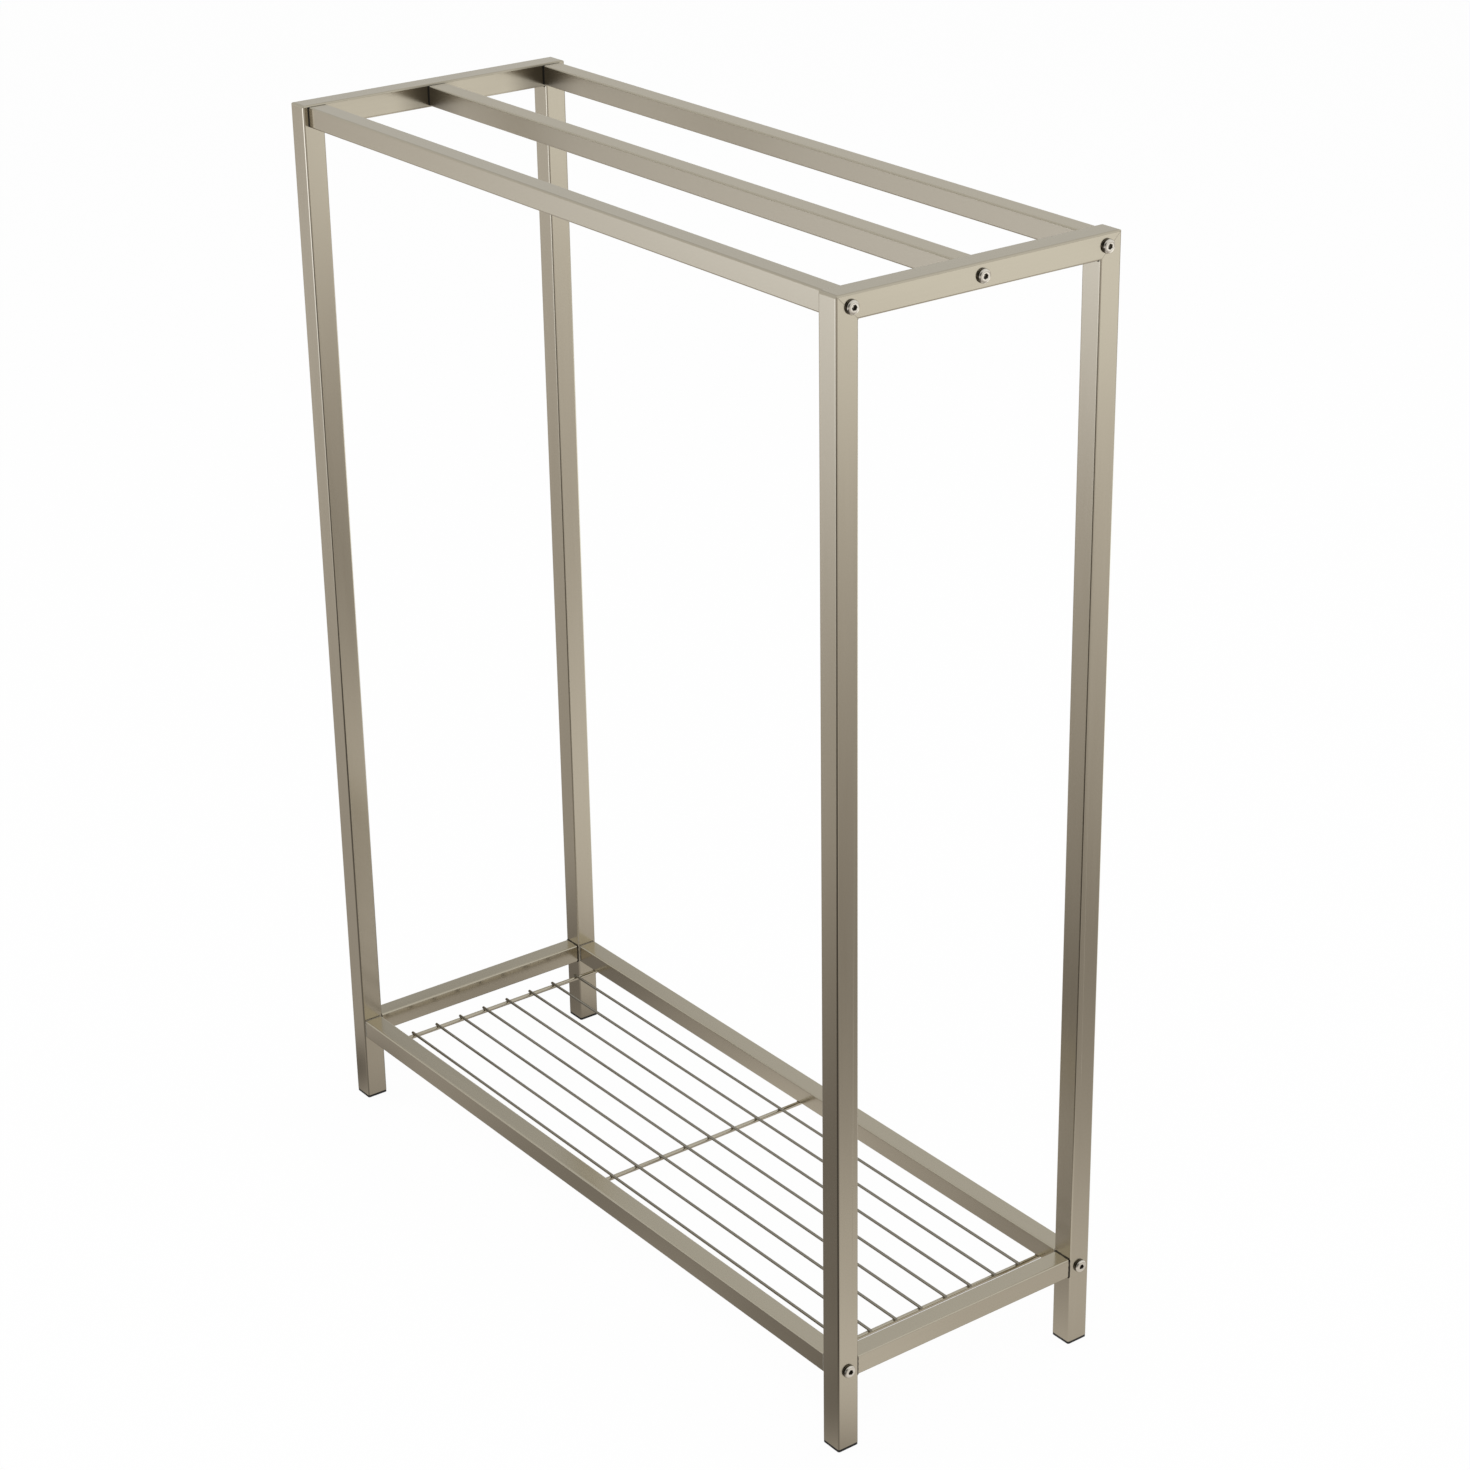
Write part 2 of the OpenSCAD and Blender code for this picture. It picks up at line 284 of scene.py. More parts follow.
# The studio: a white floor, and on it a grey card that only the metal sees.
FLOOR_SIZE = 60.0
FLOOR_PAPER = (0.90, 0.90, 0.90)
FLOOR_GLOW_SHARE = 0.96
CARD_SIZE = 59.0
CARD_LIFT = 0.3 * MM
CARD_GREY = 0.495
CARD_DARKEST = 0.07
CARD_SHADE_TINT = (1.11, 1.0, 0.91)
CARD_BRIGHT_TINT = (1.00, 1.0, 0.99)
MAIN_POOL_TINT = (0.98, 1.0, 1.09)
MAIN_POOL_PLACE = (-2.00, -5.85, 0.0)
MAIN_POOL_CORE = 2.2
MAIN_POOL_FADED = 4.8

# Pools of light and shade on the card, as the metal sees them: where each one is, how far
# it reaches and how much it adds. The first is the main one, and also cooler in colour.
CARD_POOLS = [
    (-2.00, -5.85, 4.85, 1.78),
    (3.90, 2.90, 2.40, 0.62),
    (0.62, -1.03, 1.48, -0.43),
    (0.86, 1.26, 1.72, -1.12),
    (0.67, 0.00, 0.54, 0.27),
    (0.48, 1.66, 2.09, 1.62),
    (-0.36, -0.35, 2.75, -0.11),
    (1.95, -2.10, 2.30, -0.56),
    (-0.52, 0.18, 0.50, -0.28),
    (0.30, 0.00, 0.50, -0.08),
    (-0.15, -0.30, 0.35, -0.08),
    (1.10, 0.75, 0.50, -0.08),
    (0.42, -0.21, 0.16, -0.10),
    (0.57, -0.09, 0.22, 0.16),
    (0.34, 0.06, 0.20, -0.09),
    (0.09, -0.13, 0.22, 0.09),
    (-0.53, -0.17, 0.11, -0.22),
    (-0.38, 0.22, 0.13, 0.16),
    (0.66, -0.40, 0.30, -0.30),
    (-0.36, -0.08, 0.20, 0.13),
    (-0.12, 0.12, 0.22, 0.08),
    (0.28, 0.38, 0.40, 0.08),
]

# The backdrop: its grey from the horizon up, and soft patches in it, each as a direction,
# where it starts and is full, and how much it adds.
SKY_STOPS = [(0.0, 0.76), (0.24, 0.66), (0.45, 0.62), (0.60, 0.62), (1.0, 0.60)]
SKY_PATCHES = [
    ((-0.80, -0.60, 0.10), 0.55, 0.95, -0.06),
    ((-0.75, 0.47, 0.47), 0.78, 0.95, -0.05),
    ((-0.80, 0.40, 0.45), 0.985, 0.999, -0.20),
    ((0.62, 0.62, 0.48), 0.86, 0.97, 0.08),
    ((0.70, -0.70, 0.15), 0.60, 0.92, -0.55),
]
SKY_SHADE_TINT = (1.03, 1.0, 0.94)
SKY_BRIGHT_TINT = (0.995, 1.0, 1.00)
SOFT_LIGHT = 0.70


def rgba(colour):
    return (*colour, 1.0)


class Field:
    """A socket of a shader tree, with arithmetic."""

    def __init__(self, finish, socket):
        self.finish = finish
        self.socket = socket

    def combine(self, operation, first, second):
        return self.finish.node("Math", {"operation": operation}, {0: first, 1: second})

    def __add__(self, other):
        return self.combine("ADD", self, other)

    def __radd__(self, other):
        return self.combine("ADD", other, self)

    def __sub__(self, other):
        return self.combine("SUBTRACT", self, other)

    def __rsub__(self, other):
        return self.combine("SUBTRACT", other, self)

    def __mul__(self, other):
        return self.combine("MULTIPLY", self, other)


class Finish:
    """A material or world whose nodes are made by one method."""

    def __init__(self, tree):
        self.tree = tree
        tree.nodes.clear()

    def node(self, kind, settings=None, values=None, output=0):
        made = self.tree.nodes.new("ShaderNode" + kind)
        for key, value in (settings or {}).items():
            if key == "stops":
                self.set_stops(made.color_ramp, value)
            else:
                setattr(made, key, value)
        for key, value in (values or {}).items():
            if isinstance(value, Field):
                self.tree.links.new(value.socket, made.inputs[key])
            else:
                made.inputs[key].default_value = value
        return Field(self, made.outputs[output]) if made.outputs else None

    @staticmethod
    def set_stops(ramp, stops):
        while len(ramp.elements) < len(stops):
            ramp.elements.new(1.0)
        for element, (place, level) in zip(ramp.elements, stops):
            element.position = place
            element.color = (level, level, level, 1.0)

    def mix_colour(self, factor, first, second):
        settings = {"data_type": "RGBA", "clamp_factor": True}
        values = {"Factor": factor, 6: first, 7: second}
        return self.node("Mix", settings, values, output=2)


def new_finish(name):
    material = bpy.data.materials.new(name)
    material.use_nodes = True
    return material, Finish(material.node_tree)


def surface(finish, shader):
    finish.node("OutputMaterial", None, {"Surface": shader})


def own_place(finish):
    """Where a point lies, in the object's own frame."""
    return finish.node("TexCoord", None, None, output="Object")


def axis_parts(finish, vector):
    """The three parts of a vector, each as a number."""
    return [finish.node("SeparateXYZ", None, {0: vector}, output=axis) for axis in "XYZ"]


def size_of(finish, number):
    return finish.node("Math", {"operation": "ABSOLUTE"}, {0: number})


def larger(finish, first, second):
    return finish.node("Math", {"operation": "MAXIMUM"}, {0: first, 1: second})


def facing(finish):
    """How squarely a face looks along each axis, from 0 to 1."""
    normal = finish.node("NewGeometry", None, None, output="Normal")
    return [size_of(finish, part) for part in axis_parts(finish, normal)]


def ramp(finish, value, start, end, low=0.0, high=1.0):
    """Eases from low to high as the value goes from start to end."""
    return finish.node("MapRange", {"interpolation_type": "SMOOTHSTEP"}, {
        "Value": value, "From Min": start, "From Max": end, "To Min": low, "To Max": high})


def fade(finish, value, start, end, share=1.0):
    """Eases from a share to nothing as the value goes from start to end."""
    return ramp(finish, value, start, end, share, 0.0)


def noise(finish, place, scale, detail):
    values = {"Vector": place, "Scale": scale, "Detail": detail}
    return finish.node("TexNoise", None, values)


def drawn_noise(finish, place, along, across_scale, along_scale, detail):
    """Noise that is drawn out along one axis."""
    scales = [across_scale, across_scale, across_scale]
    scales[along] = along_scale
    drawn = finish.node("Mapping", None, {"Vector": place, "Scale": scales})
    return noise(finish, drawn, 1.0, detail)


def relief(finish, strength, distance, height):
    values = {"Strength": strength, "Distance": distance, "Height": height}
    return finish.node("Bump", None, values)


def metal(finish, colour, rough, bump=None):
    values = {"Base Color": colour, "Metallic": 1.0, "Roughness": rough}
    if bump:
        values["Normal"] = bump
    surface(finish, finish.node("BsdfPrincipled", None, values))


def rounded_edge(finish):
    """1 on the rounded edges of a square tube, 0 on its flats."""
    along_x, along_y, along_z = facing(finish)
    flat = larger(finish, larger(finish, along_x, along_y), along_z)
    return ramp(finish, flat, FLAT_FACING, ROUND_FACING)


def mitre_seam(finish, place):
    """1 along the mitred joints of the end frames, on their outer and inner faces."""
    x, y, z = axis_parts(finish, place)
    across = (RACK_TOP - z) - (RACK_REAR - size_of(finish, y))
    line = fade(finish, size_of(finish, across), SEAM_CORE, SEAM_FADED)
    return line * ramp(finish, facing(finish)[0], SIDE_FACING, FLAT_FACING)


def no_painted_shade(finish, place, edge):
    return edge * 0.0


def painted_shade_on_bends(finish, place, edge):
    """Painted shade: the bends of the two front posts are darker near the floor, the left one from
    higher up.
    """
    x, y, z = axis_parts(finish, place)
    left = fade(finish, z, *LEFT_BENDS) * fade(finish, x, -MIDDLE_BLEND, 0.0)
    right = fade(finish, z, *RIGHT_BENDS) * ramp(finish, x, 0.0, MIDDLE_BLEND)
    return edge * (left + right) * fade(finish, y, -MIDDLE_BLEND, 0.0)


def painted_shade_on_bars(finish, place, edge):
    """Painted shade: the upright faces of the bars are a little darker, and more so before the
    left end frame.
    """
    x = axis_parts(finish, place)[0]
    upright = fade(finish, facing(finish)[2], UPRIGHT_FACING, LEVEL_FACING)
    return upright * (BAR_PAINTED_SHADE + fade(finish, x + FRAME_INNER_X, *BAR_ENDS))


def painted_shade_beside_bars(finish, place, edge):
    """Painted shade: the inner faces of the top rails are darker beside the middle and rear bars.
    """
    x, y, z = axis_parts(finish, place)
    middle = fade(finish, size_of(finish, y - MIDDLE_SHADE_Y), *BESIDE_MIDDLE_BAR)
    rear = fade(finish, size_of(finish, y - REAR_SHADE_Y), *BESIDE_REAR_BAR)
    inner = fade(finish, size_of(finish, x), *INNER_FACE_ZONE)
    return (middle + rear) * inner * ramp(finish, z, *TOP_RAIL_ZONE)


def satin_nickel(name, along, tone=NICKEL, dark=NICKEL_DARK, base_rough=PLATE_ROUGH,
                 painted_shade=no_painted_shade):
    """Brushed nickel plate, its polishing lines running along one axis."""
    material, finish = new_finish(name)
    place = own_place(finish)
    lines = drawn_noise(finish, place, along, LINES_ACROSS, LINES_ALONG, LINES_DETAIL)
    cloud = drawn_noise(finish, place, along, CLOUD_ACROSS, CLOUD_ALONG, CLOUD_DETAIL)
    grit = noise(finish, place, GRIT, GRIT_DETAIL)
    edge = rounded_edge(finish)
    seam = mitre_seam(finish, place)
    shade = lines * TONE_LINES + cloud * TONE_CLOUD - TONE_LOWERED + edge * TONE_EDGE
    colour = finish.mix_colour(shade, rgba(dark), rgba(tone))
    colour = finish.mix_colour(seam * TONE_SEAM, colour, rgba(SEAM_TONE))
    # Painted shade: the colour is pulled towards a dark tone wherever the given function asks for
    # it.
    colour = finish.mix_colour(painted_shade(finish, place, edge), colour, rgba(PAINTED_SHADE_TONE))
    rough = base_rough + lines * ROUGH_LINES + cloud * ROUGH_CLOUD
    rough = rough - edge * ROUGH_EDGE + seam * ROUGH_SEAM
    height = lines * RELIEF_LINES + grit * RELIEF_GRIT - seam * RELIEF_SEAM
    metal(finish, colour, rough, relief(finish, RELIEF_STRENGTH, RELIEF, height))
    return material


def bright_plate():
    """Bright plate of the screws, with painted shade on the sides of the head and in the socket.
    """
    material, finish = new_finish("bright_screw_plate")
    haze = noise(finish, own_place(finish), SCREW_CLOUD, SCREW_DETAIL)
    rough = SCREW_ROUGH + haze * SCREW_ROUGH_CLOUD
    colour = finish.mix_colour(haze, rgba(SCREW_HAZE), rgba(SCREW_STEEL))
    # Painted shade: faces that do not look along the screw are darkened.
    side = fade(finish, facing(finish)[0], *SCREW_SHADE_ZONE)
    colour = finish.mix_colour(side, colour, rgba(SCREW_SIDE_SHADE))
    bump = relief(finish, SCREW_RELIEF_STRENGTH, SCREW_RELIEF, haze)
    metal(finish, colour, rough, bump)
    return material


def zinc_plate():
    """Zinc plate of the nuts, with its spangle."""
    material, finish = new_finish("zinc_nut_plate")
    values = {"Vector": own_place(finish), "Scale": SPANGLE}
    spangle = finish.node("TexVoronoi", None, values)
    colour = finish.mix_colour(spangle, rgba(ZINC), rgba(ZINC_DARK))
    metal(finish, colour, ZINC_ROUGH + spangle * ZINC_ROUGH_SPANGLE)
    return material


def moulded_plastic(name, tone, worn):
    """Plastic with the fine spark-eroded grain of its mould."""
    material, finish = new_finish(name)
    place = own_place(finish)
    grain = noise(finish, place, MOULD_GRAIN, MOULD_GRAIN_DETAIL)
    cloud = noise(finish, place, PLASTIC_CLOUD, PLASTIC_CLOUD_DETAIL)
    colour = finish.mix_colour(cloud, rgba(tone), rgba(worn))
    rough = PLASTIC_ROUGH + cloud * PLASTIC_ROUGH_CLOUD
    bump = relief(finish, PLASTIC_RELIEF_STRENGTH, PLASTIC_RELIEF, grain)
    shader = finish.node("BsdfPrincipled", None, {
        "Base Color": colour, "Roughness": rough, "Normal": bump})
    surface(finish, shader)
    return material


def ray(finish, kind):
    """1 for rays of one kind."""
    return finish.node("LightPath", None, None, output=f"Is {kind} Ray")


def backdrop_rays(finish):
    """1 for rays that see the background directly, in metal or through glass."""
    either = larger(finish, ray(finish, "Camera"), ray(finish, "Glossy"))
    return larger(finish, either, ray(finish, "Transmission"))


def build_floor():
    """White paper floor, which keeps a faint shadow."""
    bpy.ops.mesh.primitive_plane_add(size=FLOOR_SIZE, location=(0, 0, 0))
    floor = bpy.context.object
    floor.name = "floor"
    material, finish = new_finish("white_floor")
    paper = finish.node("BsdfDiffuse", None, {"Color": rgba(FLOOR_PAPER)})
    glow = finish.node("Emission", None, {"Color": rgba(WHITE), "Strength": 1.0})
    share = backdrop_rays(finish) * FLOOR_GLOW_SHARE
    surface(finish, finish.node("MixShader", None, {0: share, 1: paper, 2: glow}))
    floor.data.materials.append(material)


def distance_to(finish, place, target):
    values = {0: place, 1: target}
    return finish.node("VectorMath", {"operation": "DISTANCE"}, values, output="Value")


def build_grey_card():
    """Grey paper on the studio floor round the rack, seen in the metal and not by the camera."""
    bpy.ops.mesh.primitive_plane_add(size=CARD_SIZE, location=(0, 0, CARD_LIFT))
    card = bpy.context.object
    card.name = "grey_card"
    material, finish = new_finish("grey_card")
    place = own_place(finish)
    level = CARD_GREY
    for x, y, reach, adds in CARD_POOLS:
        far = distance_to(finish, place, (x, y, 0.0))
        level = level + fade(finish, far, 0.0, reach, adds)
    level = larger(finish, level, CARD_DARKEST)
    tint = finish.mix_colour(level, rgba(CARD_SHADE_TINT), rgba(CARD_BRIGHT_TINT))
    far = distance_to(finish, place, MAIN_POOL_PLACE)
    cool = fade(finish, far, MAIN_POOL_CORE, MAIN_POOL_FADED)
    tint = finish.mix_colour(cool, tint, rgba(MAIN_POOL_TINT))
    surface(finish, finish.node("Emission", None, {"Color": tint, "Strength": level}))
    card.data.materials.append(material)
    card.visible_camera = False
    card.visible_diffuse = False
    card.visible_transmission = False
    card.visible_volume_scatter = False
    card.visible_shadow = False


def toward(finish, way, target, start, end, adds):
    """A soft patch of the backdrop round one direction."""
    values = {0: way, 1: Vector(target).normalized()}
    near = finish.node("VectorMath", {"operation": "DOT_PRODUCT"}, values, output="Value")
    return ramp(finish, near, start, end, 0.0, adds)


def build_world():
    """White backdrop; soft light from all round, and a paler horizon than ceiling in the metal."""
    world = bpy.data.worlds.new("studio")
    bpy.context.scene.world = world
    world.use_nodes = True
    finish = Finish(world.node_tree)
    way = finish.node("TexCoord", None, None, output="Generated")
    height = axis_parts(finish, way)[2]
    sky = finish.node("ValToRGB", {"stops": SKY_STOPS}, {"Fac": height})
    level = finish.node("RGBToBW", None, {0: sky})
    for target, start, end, adds in SKY_PATCHES:
        level = level + toward(finish, way, target, start, end, adds)
    tint = finish.mix_colour(level, rgba(SKY_SHADE_TINT), rgba(SKY_BRIGHT_TINT))
    mirrored = ray(finish, "Glossy")
    white = larger(finish, ray(finish, "Camera"), ray(finish, "Transmission"))
    colour = finish.mix_colour(mirrored, rgba(WHITE), tint)
    soft = SOFT_LIGHT + mirrored * (level - SOFT_LIGHT)
    strength = soft + white * (1.0 - soft)
    back = finish.node("Background", None, {"Color": colour, "Strength": strength})
    finish.node("OutputWorld", None, {"Surface": back})


def build_lights():
    """Square soft boxes that look at the middle of the rack, and that no metal mirrors."""
    middle = Vector((0, 0, RACK_TOP / 2))
    for name, place, size, power in LAMPS:
        data = bpy.data.lights.new(name, "AREA")
        data.shape = "SQUARE"
        data.size = size
        data.energy = power
        lamp = bpy.data.objects.new(name, data)
        bpy.context.collection.objects.link(lamp)
        lamp.visible_glossy = False
        lamp.location = place
        lamp.rotation_euler = (middle - lamp.location).to_track_quat("-Z", "Y").to_euler()


def build_camera():
    data = bpy.data.cameras.new("photo_camera")
    data.lens = CAMERA_LENS
    data.sensor_width = CAMERA_SENSOR
    data.clip_end = CAMERA_FAR
    camera = bpy.data.objects.new("photo_camera", data)
    bpy.context.collection.objects.link(camera)
    turn = Matrix.Rotation(math.radians(CAMERA_AZIMUTH), 4, "Z")
    raise_up = Matrix.Rotation(math.radians(90.0 - CAMERA_ELEVATION), 4, "X")
    roll = Matrix.Rotation(math.radians(CAMERA_ROLL), 4, "Z")
    camera.matrix_world = Matrix.Translation(CAMERA_PLACE) @ turn @ raise_up @ roll
    bpy.context.scene.camera = camera


def deselect_all():
    bpy.ops.object.select_all(action="DESELECT")


def choose(piece):
    """Makes a piece the only selected one."""
    deselect_all()
    piece.select_set(True)
    bpy.context.view_layer.objects.active = piece


def take_up(piece):
    """Chooses a piece and opens its mesh."""
    choose(piece)
    bpy.ops.object.mode_set(mode="EDIT")


def put_down():
    bpy.ops.object.mode_set(mode="OBJECT")


def settle(piece):
    """Puts a piece's place, turn and scale into its mesh."""
    choose(piece)
    bpy.ops.object.transform_apply(location=True, rotation=True, scale=True)


def soften(piece, angle=SMOOTH_ANGLE):
    choose(piece)
    bpy.ops.object.shade_smooth_by_angle(angle=math.radians(angle))


def pick_faces(piece, test):
    """Selects the faces whose middle and normal pass the test."""
    bpy.ops.mesh.select_mode(type="FACE")
    bpy.ops.mesh.select_all(action="DESELECT")
    shape = bmesh.from_edit_mesh(piece.data)
    for face in shape.faces:
        face.select_set(test(face.calc_center_median(), face.normal))
    shape.select_flush_mode()
    bmesh.update_edit_mesh(piece.data)


def pick_edges(piece, test):
    """Selects the edges whose two ends pass the test."""
    bpy.ops.mesh.select_mode(type="EDGE")
    bpy.ops.mesh.select_all(action="DESELECT")
    shape = bmesh.from_edit_mesh(piece.data)
    for edge in shape.edges:
        edge.select_set(test(edge.verts[0].co, edge.verts[1].co))
    shape.select_flush_mode()
    bmesh.update_edit_mesh(piece.data)


def pick_all():
    bpy.ops.mesh.select_all(action="SELECT")


def inset(thickness):
    bpy.ops.mesh.inset(thickness=thickness)


def bevel(offset, segments):
    bpy.ops.mesh.bevel(offset=offset, segments=segments)


def extrude(way):
    """Draws the picked face on by one step."""
    bpy.ops.mesh.extrude_region_move(TRANSFORM_OT_translate={"value": way})


def carry_on(forward, scale=1.0):
    """Draws the picked face on along X and resizes it."""
    extrude((forward, 0, 0))
    if scale != 1.0:
        bpy.ops.transform.resize(value=(1.0, scale, scale))


def make_uneven(offset, uniform, normal, seed):
    bpy.ops.transform.vertex_random(offset=offset, uniform=uniform, normal=normal, seed=seed)


def turn_outward():
    pick_all()
    bpy.ops.mesh.normals_make_consistent(inside=False)


def another(pattern, name, place, turn=(0, 0, 0)):
    """Copies a piece, with its own mesh, to a place."""
    copy = pattern.copy()
    copy.data = pattern.data.copy()
    copy.name = name
    bpy.context.collection.objects.link(copy)
    copy.rotation_euler = turn
    copy.location = place
    settle(copy)
    return copy


def throw_away(piece):
    bpy.data.objects.remove(piece, do_unlink=True)


def join(parts, name):
    deselect_all()
    for part in parts:
        part.select_set(True)
    bpy.context.view_layer.objects.active = parts[0]
    bpy.ops.object.join()
    whole = bpy.context.object
    whole.name = name
    return whole


def cut_away(piece, cutter):
    """Takes one shape out of another."""
    choose(piece)
    cut = piece.modifiers.new("cut", "BOOLEAN")
    cut.operation = "DIFFERENCE"
    cut.solver = "EXACT"
    cut.object = cutter
    bpy.ops.object.modifier_apply(modifier="cut")
    throw_away(cutter)


def put_on(piece, material):
    piece.data.materials.clear()
    piece.data.materials.append(material)


def finish_piece(piece, material, slot, *nodes):
    put_on(piece, material)
    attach(piece, BODY)
    if nodes:
        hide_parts(*nodes)


def corners():
    """The four corners of the rack: their names, and on which side of X and Y they are."""
    for end, end_name in ENDS:
        for face, face_name in FACES:
            yield f"{end_name}_{face_name}", end, face


def top_of(piece):
    """Height along X of the picked face."""
    shape = bmesh.from_edit_mesh(piece.data)
    return max(face.calc_center_median().x for face in shape.faces if face.select)


def on_rim(height):
    """A test for the edges round the screw head at one height."""
    def test(a, b):
        return all(abs(p.x - height) < TOUCH and math.hypot(p.y, p.z) > RIM_SHARE * SCREW_HEAD_R
                   for p in (a, b))
    return test


def make_screw():
    """Button head screw along +X, its seat at x = 0."""
    deselect_all()
    bpy.ops.mesh.primitive_cylinder_add(
        vertices=SCREW_SIDES, radius=SCREW_HEAD_R, depth=SCREW_RIM,
        location=(SCREW_RIM / 2, 0, 0), rotation=(0, QUARTER_TURN, 0))
    screw = bpy.context.object
    screw.name = "screw"
    settle(screw)
    take_up(screw)
    pick_faces(screw, lambda middle, normal: normal.x > SQUARE_ON)
    radius = SCREW_HEAD_R
    for share, reach in SCREW_PROFILE:
        inset(radius - SCREW_HEAD_R * share)
        bpy.ops.transform.translate(value=(reach - top_of(screw), 0, 0))
        radius = SCREW_HEAD_R * share
    pick_faces(screw, lambda middle, normal: normal.x < -SQUARE_ON)
    inset(SCREW_HEAD_R - SCREW_SHANK_R)
    carry_on(-SHANK_PLAIN)
    threaded = SCREW_LENGTH - SHANK_PLAIN - SCREW_POINT
    grooves = int(threaded / THREAD_PITCH)
    for groove in range(grooves):
        carry_on(-THREAD_PITCH / 2, THREAD_ROOT)
        carry_on(-THREAD_PITCH / 2, 1 / THREAD_ROOT)
    carry_on(grooves * THREAD_PITCH - threaded)
    carry_on(-SCREW_POINT, SCREW_POINT_SHARE)
    for height in (0.0, SCREW_RIM):
        pick_edges(screw, on_rim(height))
        bevel(SCREW_EDGE_R, EDGE_STEPS)
    turn_outward()
    put_down()
    cut_away(screw, make_hex_key())
    soften(screw)
    return screw


def make_hex_key():
    """The shape of the hexagon socket: a chamfered mouth, flat sides and a drilled bottom."""
    bpy.ops.mesh.primitive_cylinder_add(
        vertices=6, radius=SOCKET_FLATS / math.sqrt(3), depth=SOCKET_DEPTH,
        location=(SCREW_HEAD_H - SOCKET_DEPTH / 2, 0, 0), rotation=(0, QUARTER_TURN, 0))
    key = bpy.context.object
    settle(key)
    take_up(key)
    pick_faces(key, lambda middle, normal: normal.x > SQUARE_ON)
    bpy.ops.transform.translate(value=(-SOCKET_CHAMFER, 0, 0))
    carry_on(2 * SOCKET_CHAMFER, SOCKET_MOUTH)
    pick_faces(key, lambda middle, normal: normal.x < -SQUARE_ON)
    inset(SOCKET_LEDGE)
    carry_on(-DRILL_DEPTH, DRILL_POINT)
    turn_outward()
    put_down()
    return key


def build_screws():
    """Ten screws, each with its socket turned as it came to rest."""
    pattern = make_screw()
    count = 0
    for end, end_name in ENDS:
        flip = 0.0 if end > 0 else math.pi
        for row, z, places in SCREW_ROWS:
            for place, y in places:
                turn = math.radians(SOCKET_TURNS[count % len(SOCKET_TURNS)])
                count += 1
                screw = another(pattern, f"{end_name}_{place}_{row}_screw",
                                (end * RIGHT_FRAME_X, y, z), (turn, 0, flip))
                finish_piece(screw, SCREW_FINISH, "bright_steel", f"{end_name}_{row}_screws")
    throw_away(pattern)


def make_foot():
    """Black foot: a chamfered sole under the tube, and a ribbed spigot up its bore."""
    deselect_all()
    sole = TUBE - 2 * FOOT_INSET
    bore = TUBE - 2 * TUBE_WALL - 2 * FOOT_PLAY
    bpy.ops.mesh.primitive_cube_add(size=1.0, location=(0, 0, FOOT_SOLE / 2))
    foot = bpy.context.object
    foot.name = "foot"
    foot.scale = (sole, sole, FOOT_SOLE)
    settle(foot)
    take_up(foot)
    pick_edges(foot, lambda a, b: abs(a.z - b.z) > FOOT_SOLE / 2)
    bevel(TUBE_EDGE_R, CORNER_STEPS)
    pick_faces(foot, lambda middle, normal: normal.z > SQUARE_ON)
    inset((sole - bore) / 2 + RIB_HEIGHT)
    extrude((0, 0, FOOT_SHOULDER))
    for rib in range(RIBS):
        raise_rib(bore)
    pick_edges(foot, lambda a, b: a.z < TOUCH and b.z < TOUCH)
    bevel(FOOT_EDGE_R, EDGE_STEPS)
    pick_faces(foot, lambda middle, normal: normal.z < -SQUARE_ON and middle.z < TOUCH)
    inset(FOOT_RIM)
    extrude((0, 0, FOOT_HOLLOW))
    turn_outward()
    put_down()
    soften(foot)
    return foot


def raise_rib(bore):
    """One rib of the spigot, which grips the bore, and the neck above it."""
    wide = bore / (bore - 2 * RIB_HEIGHT)
    extrude((0, 0, RIB_SLOPE))
    bpy.ops.transform.resize(value=(wide, wide, 1.0))
    extrude((0, 0, RIB_LAND))
    extrude((0, 0, RIB_LEAD))
    bpy.ops.transform.resize(value=(1 / wide, 1 / wide, 1.0))
    extrude((0, 0, RIB_GAP))


def build_feet():
    pattern = make_foot()
    for corner, end, face in corners():
        foot = another(pattern, f"{corner}_foot_plug", (end * POST_X, face * POST_Y, 0))
        finish_piece(foot, PLASTIC_FINISH, "black_plastic", f"{corner}_foot")
    throw_away(pattern)


def make_rod(name, along, radius, length, sides, end_round):
    """Drawn wire along X or Y with its cut ends rounded over."""
    deselect_all()
    turn = (0, QUARTER_TURN, 0) if along == 0 else (QUARTER_TURN, 0, 0)
    bpy.ops.mesh.primitive_cylinder_add(
        vertices=sides, radius=radius, depth=length, location=(0, 0, 0), rotation=turn)
    rod = bpy.context.object
    rod.name = name
    settle(rod)
    take_up(rod)
    pick_edges(rod, lambda a, b: abs(a[along] - b[along]) < TOUCH)
    bevel(end_round, END_STEPS)
    put_down()
    soften(rod, ROD_SMOOTH_ANGLE)
    return rod


def long_wire_places(span):
    """How far each long wire lies from the middle of the shelf."""
    return [span * (number / (LONG_WIRES - 1) - 0.5) for number in range(LONG_WIRES)]


